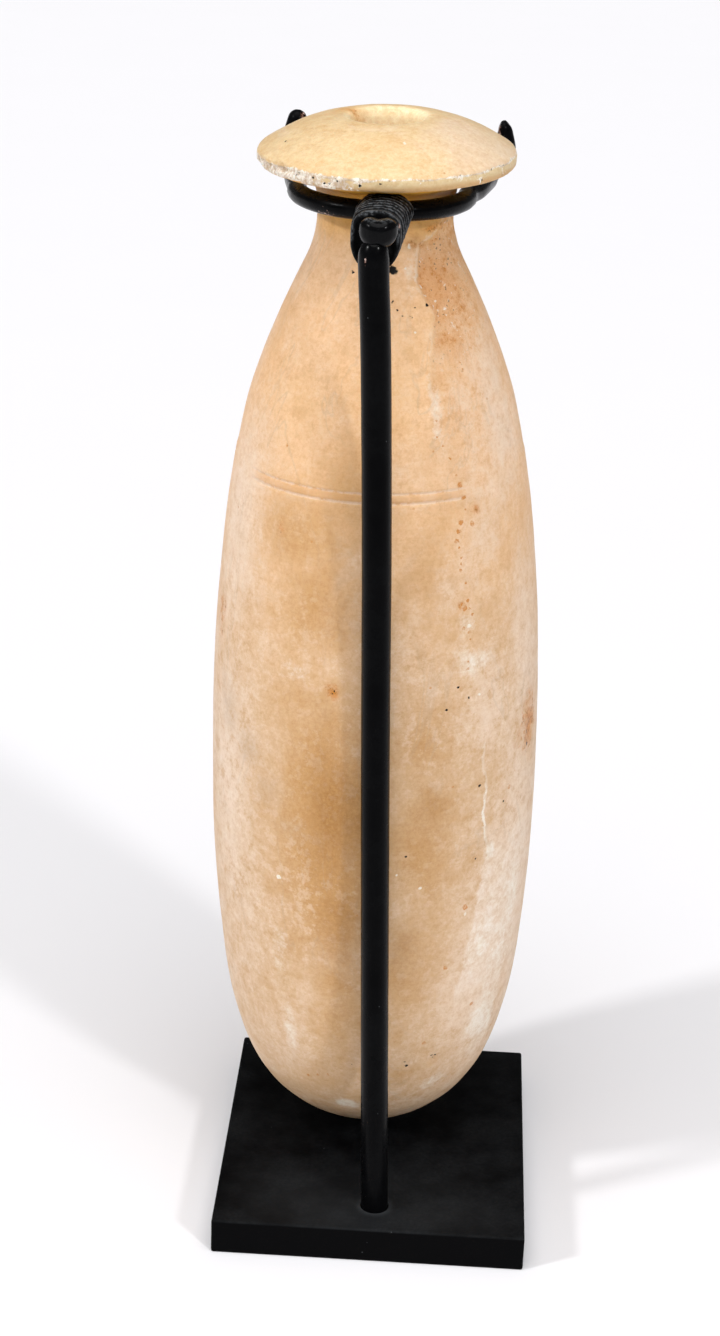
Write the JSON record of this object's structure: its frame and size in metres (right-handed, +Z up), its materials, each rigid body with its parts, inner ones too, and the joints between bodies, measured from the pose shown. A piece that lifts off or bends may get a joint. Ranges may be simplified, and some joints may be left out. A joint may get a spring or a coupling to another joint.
{
  "type": "alabaster alabastron",
  "caption": "Hollow alabaster flask with rounded foot, narrow neck and broad disc rim, held upright on a black steel base plate by a rod, a sleeve and a wire neck fork.",
  "frame": {"origin": "middle of the base plate's underside", "axes": "+Z up along the vessel, -Y towards the side where the rod stands, +X to the right seen from the rod's side"},
  "size_m": [0.081, 0.0918, 0.2642],
  "materials": {
    "alabaster": "smooth worn stone, satin",
    "plate_paint": "black paint, matt and dusty",
    "rod_paint": "black paint, satin",
    "coupling_paint": "black paint over a ribbed sleeve, matt",
    "fork_paint": "black paint, satin, worn to bare metal in places"
  },
  "bodies": {
    "root": {"alabastron": "alabaster", "base_plate": "plate_paint", "rod": "rod_paint", "coupling": "coupling_paint", "neck_fork": "fork_paint"}
  },
  "joints": []
}
